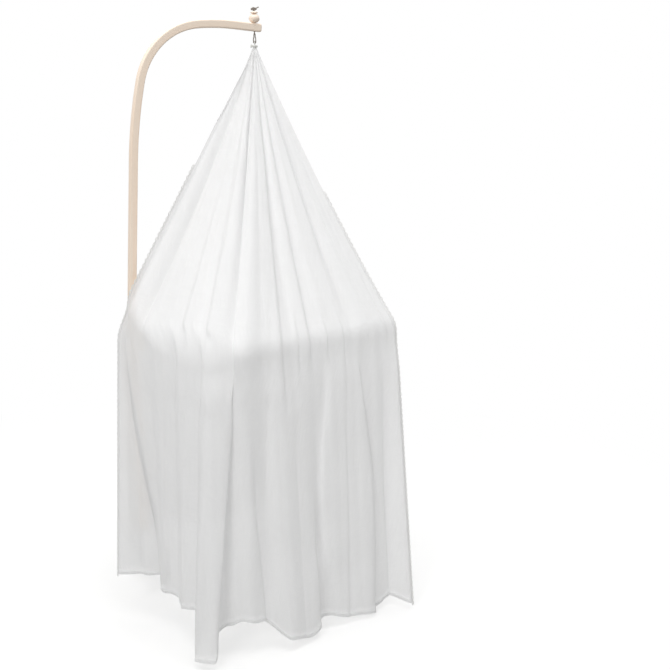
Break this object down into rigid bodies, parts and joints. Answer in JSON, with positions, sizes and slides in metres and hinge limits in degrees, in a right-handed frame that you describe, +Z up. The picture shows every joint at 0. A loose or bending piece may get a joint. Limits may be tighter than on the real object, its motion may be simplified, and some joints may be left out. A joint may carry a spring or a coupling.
{
  "type": "bed crown canopy",
  "caption": "Bent wooden pole that stands behind a bed's head and hangs a two-panel voile canopy from a beaded cord at the tip of its arm.",
  "frame": {"origin": "middle of the upper seat's face, where the fastening's pad bears on the bed's end", "axes": "+X out of the seat, along the arm over the bed; +Z up along the pole; +Y to the far side, towards the far panel"},
  "size_m": [0.736, 0.8767, 1.7232],
  "materials": {
    "beech": "pale beech, clear matt lacquer",
    "bead_beech": "turned beech, satin",
    "steel": "zinc-plated",
    "felt": "pressed wool felt",
    "cord": "laid cotton cord, grey-brown",
    "voile": "sheer white cotton voile",
    "picot": "white picot edging"
  },
  "bodies": {
    "stand": {"pole": "beech", "upper_spacer": "beech", "upper_pad": "felt", "upper_washer": "steel", "upper_bolt": "steel", "lower_spacer": "beech", "lower_pad": "felt", "lower_washer": "steel", "lower_bolt": "steel"},
    "hanger": {"hanger_cord": "cord"},
    "ball": {"ball_bead": "bead_beech"},
    "flat_bead": {"top_bead": "bead_beech"},
    "canopy": {"neck_tie": "cord", "gathered_neck": "voile", "near_panel": "voile", "far_panel": "voile", "near_front_trim": "picot", "near_back_trim": "picot", "far_front_trim": "picot", "far_back_trim": "picot"}
  },
  "joints": [
    {"name": "canopy_lift", "type": "slide", "parent": "stand", "child": "hanger", "axis": [0, 0, 1], "range_m": [0, 0.012]},
    {"name": "ball_spin", "type": "hinge", "parent": "stand", "child": "ball", "pos_m": [0.375, 0, 0.8683], "axis": [0, 0, 1], "continuous": true},
    {"name": "flat_bead_spin", "type": "hinge", "parent": "stand", "child": "flat_bead", "pos_m": [0.375, 0, 0.8838], "axis": [0, 0, 1], "continuous": true},
    {"name": "canopy_turn", "type": "hinge", "parent": "hanger", "child": "canopy", "pos_m": [0.375, 0, 0.801], "axis": [0, 0, 1], "range_deg": [-1, 4]}
  ]
}
